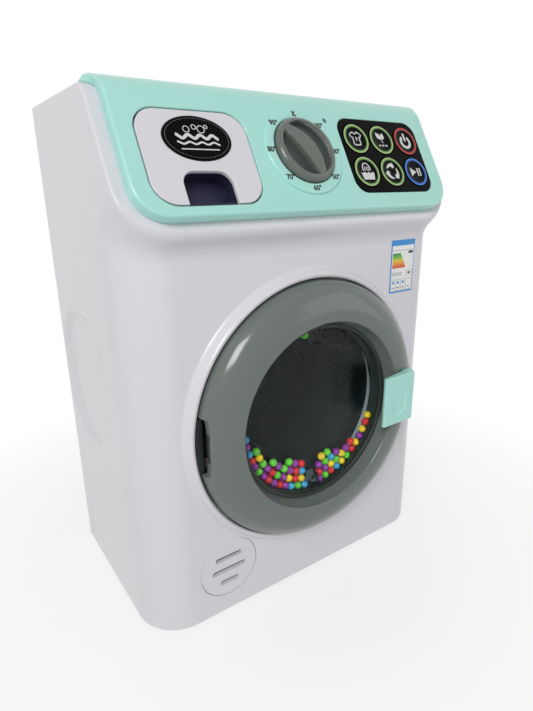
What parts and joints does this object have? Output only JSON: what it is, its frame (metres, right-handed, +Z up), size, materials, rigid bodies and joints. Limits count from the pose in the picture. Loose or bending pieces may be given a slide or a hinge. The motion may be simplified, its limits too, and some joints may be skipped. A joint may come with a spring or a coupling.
{
  "type": "toy washing machine",
  "caption": "Child's toy front-loading washing machine: white box body with a tilted control panel, round ring door with loose beads in its window, latch, drawer, knob and keys.",
  "frame": {"origin": "middle of the bounding box at the underside of the feet", "axes": "+Z up, -Y out of the front with the door, +X to the right seen from the front"},
  "size_m": [0.21, 0.1456, 0.2842],
  "materials": {
    "white_plastic": "gloss",
    "mint_plastic": "gloss",
    "grey_plastic": "gloss",
    "liner_plastic": "satin",
    "knob_plastic": "satin",
    "navy_plastic": "satin",
    "black_plastic": "gloss",
    "key_green": "gloss",
    "key_red": "gloss",
    "key_blue": "gloss",
    "pale_plastic": "satin",
    "charcoal_plastic": "satin",
    "gear_plastic": "satin",
    "clear_plastic": "clear",
    "lens": "gloss",
    "black_rubber": "matt",
    "silicone": "matt",
    "beads": "gloss",
    "circuit_board": "satin",
    "cell": "satin",
    "sticker": "satin",
    "steel": "satin",
    "brass": "satin"
  },
  "bodies": {
    "body": {"front_shell": "white_plastic", "rear_cover": "white_plastic", "control_panel": "mint_plastic", "dial_plate": "mint_plastic", "key_bezel": "black_plastic", "key_mat": "silicone", "keypad_board": "circuit_board", "drawer_chute": "charcoal_plastic", "knob_switch": "charcoal_plastic", "indicator_lens": "lens", "label_sticker": "sticker", "speaker_grille": "white_plastic", "speaker": "charcoal_plastic", "main_board": "circuit_board", "battery_box": "black_plastic", "battery_cells": "cell", "battery_contacts": "steel", "battery_door": "white_plastic", "battery_door_screw": "steel", "tub": "pale_plastic", "tub_bush": "brass", "motor_bracket": "pale_plastic", "motor": "steel", "hinge_bracket": "charcoal_plastic", "latch_catch": "black_plastic", "case_screws": "steel", "panel_screws": "steel", "bracket_screws": "steel", "board_screws": "steel", "feet": "black_rubber"},
    "door": {"door_ring": "grey_plastic", "door_liner": "liner_plastic", "outer_window": "clear_plastic", "inner_window": "clear_plastic", "door_gasket": "black_rubber", "beads": "beads", "door_screws": "steel", "hinge_pin": "steel", "latch_pin": "steel", "latch_spring": "steel"},
    "latch": {"latch_lever": "mint_plastic"},
    "drawer": {"drawer_front": "white_plastic", "drawer_tray": "navy_plastic", "drawer_badge": "black_plastic"},
    "knob": {"program_knob": "knob_plastic", "knob_shaft": "steel"},
    "shirt_key": {"key_shirt": "key_green"},
    "leaf_key": {"key_leaf": "key_green"},
    "power_key": {"key_power": "key_red"},
    "basin_key": {"key_basin": "key_green"},
    "cycle_key": {"key_cycle": "key_green"},
    "play_key": {"key_play": "key_blue"},
    "drum": {"drum": "charcoal_plastic", "drum_shaft": "steel", "drive_gear": "gear_plastic"},
    "pinion": {"motor_shaft": "steel", "pinion": "gear_plastic"}
  },
  "joints": [
    {"name": "door_hinge", "type": "hinge", "parent": "body", "child": "door", "pos_m": [-0.07, -0.05975, 0.1147], "axis": [0, 0, -1], "range_deg": [0, 105]},
    {"name": "latch_pivot", "type": "hinge", "parent": "door", "child": "latch", "pos_m": [0.0665, -0.06225, 0.1147], "axis": [0, 0, 1], "range_deg": [0, 18], "stiffness_Nm_per_rad": 0.03},
    {"name": "drawer_slide", "type": "slide", "parent": "body", "child": "drawer", "axis": [0, -0.8704, 0.4924], "range_m": [0, 0.036]},
    {"name": "knob_turn", "type": "hinge", "parent": "body", "child": "knob", "pos_m": [-0.0027, -0.03998, 0.25174], "axis": [0, -0.8704, 0.4924], "continuous": true},
    {"name": "drum_spin", "type": "hinge", "parent": "body", "child": "drum", "pos_m": [0, 0, 0.1147], "axis": [0, 1, 0], "continuous": true},
    {"name": "pinion_spin", "type": "hinge", "parent": "body", "child": "pinion", "pos_m": [0.018, 0, 0.08352], "axis": [0, 1, 0], "continuous": true},
    {"name": "shirt_press", "type": "slide", "parent": "body", "child": "shirt_key", "axis": [0, 0.8704, -0.4924], "range_m": [0, 0.0008], "stiffness_N_per_m": 600},
    {"name": "leaf_press", "type": "slide", "parent": "body", "child": "leaf_key", "axis": [0, 0.8704, -0.4924], "range_m": [0, 0.0008], "stiffness_N_per_m": 600},
    {"name": "power_press", "type": "slide", "parent": "body", "child": "power_key", "axis": [0, 0.8704, -0.4924], "range_m": [0, 0.0008], "stiffness_N_per_m": 600},
    {"name": "basin_press", "type": "slide", "parent": "body", "child": "basin_key", "axis": [0, 0.8704, -0.4924], "range_m": [0, 0.0008], "stiffness_N_per_m": 600},
    {"name": "cycle_press", "type": "slide", "parent": "body", "child": "cycle_key", "axis": [0, 0.8704, -0.4924], "range_m": [0, 0.0008], "stiffness_N_per_m": 600},
    {"name": "play_press", "type": "slide", "parent": "body", "child": "play_key", "axis": [0, 0.8704, -0.4924], "range_m": [0, 0.0008], "stiffness_N_per_m": 600}
  ],
  "couplings": [
    {"joint": "pinion_spin", "follows": "drum_spin", "ratio": -5}
  ]
}
